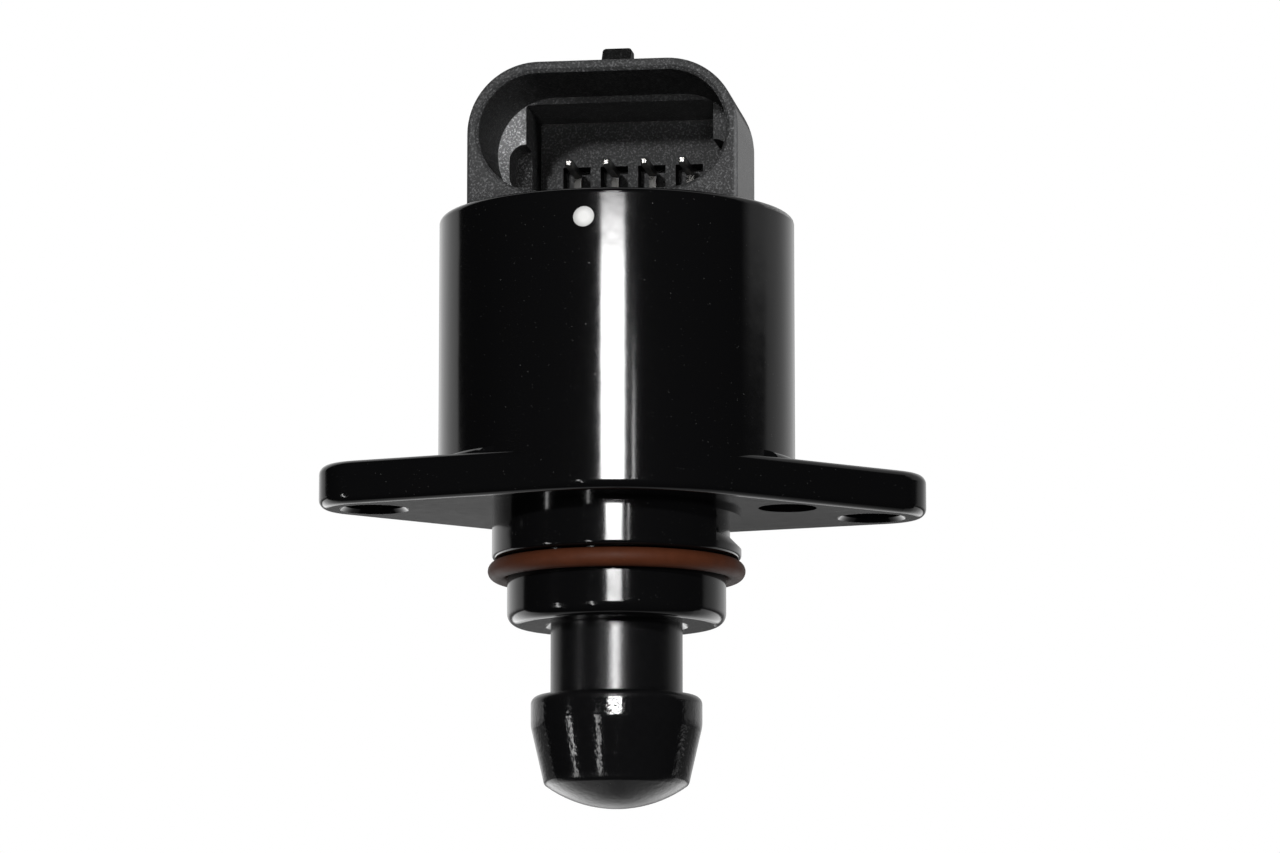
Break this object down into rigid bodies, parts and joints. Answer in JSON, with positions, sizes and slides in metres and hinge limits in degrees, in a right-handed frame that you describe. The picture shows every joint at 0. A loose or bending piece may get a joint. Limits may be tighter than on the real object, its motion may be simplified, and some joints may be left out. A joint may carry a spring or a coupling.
{
  "type": "idle air control valve",
  "caption": "Stepper-motor idle air valve: round barrel on a two-eared flange, sealed spigot, sliding cone-tipped pintle and a plug socket with pins.",
  "frame": {"origin": "on the valve's axis, at the flange's seating face", "axes": "+Z along the valve's axis towards the plug socket, +X along the line of the two bolt holes"},
  "size_m": [0.0599, 0.035, 0.0756],
  "materials": {
    "gloss_black": "glossy moulded black",
    "charcoal_grain": "fine moulded grain",
    "valve_black": "glossy moulded black",
    "seal_brown": "matt",
    "tinned": "bright tin",
    "steel": "ground",
    "pole_steel": "zinc plated",
    "bobbin_white": "moulded",
    "copper": "enamelled copper",
    "ferrite": "sintered",
    "nut_cream": "moulded",
    "bronze": "sintered bronze",
    "gasket_black": "matt"
  },
  "bodies": {
    "valve_body": {"housing": "gloss_black", "connector_cap": "charcoal_grain", "terminal_1": "tinned", "terminal_2": "tinned", "terminal_3": "tinned", "terminal_4": "tinned", "seal_ring": "seal_brown", "cap_gasket": "gasket_black", "spring_seat": "steel", "spring": "steel", "bearing_outer_race": "steel", "stator_cup_lower": "pole_steel", "stator_plate_lower": "pole_steel", "stator_plate_upper": "pole_steel", "stator_cup_upper": "pole_steel", "bobbin_lower": "bobbin_white", "bobbin_upper": "bobbin_white", "coil_lower": "copper", "coil_upper": "copper", "rear_bush": "bronze"},
    "rotor": {"rotor_magnet": "ferrite", "rotor_nut": "nut_cream", "bearing_inner_race": "steel"},
    "ball_cage": {"bearing_cage": "bronze", "bearing_balls": "steel"},
    "pintle": {"pintle": "valve_black", "lead_screw": "steel"}
  },
  "joints": [
    {"name": "pintle_slide", "type": "slide", "parent": "valve_body", "child": "pintle", "axis": [0, 0, -1], "range_m": [-0.0062, 0.0021], "deforming": ["spring"]},
    {"name": "rotor_spin", "type": "hinge", "parent": "valve_body", "child": "rotor", "pos_m": [0, 0, 0.016], "axis": [0, 0, 1], "range_deg": [-2232, 756]},
    {"name": "cage_spin", "type": "hinge", "parent": "valve_body", "child": "ball_cage", "pos_m": [0, 0, 0.0055], "axis": [0, 0, 1], "range_deg": [-931, 316]}
  ],
  "couplings": [
    {"joint": "rotor_spin", "follows": "pintle_slide", "rad_per_m": 6283.2},
    {"joint": "cage_spin", "follows": "pintle_slide", "rad_per_m": 2618}
  ]
}
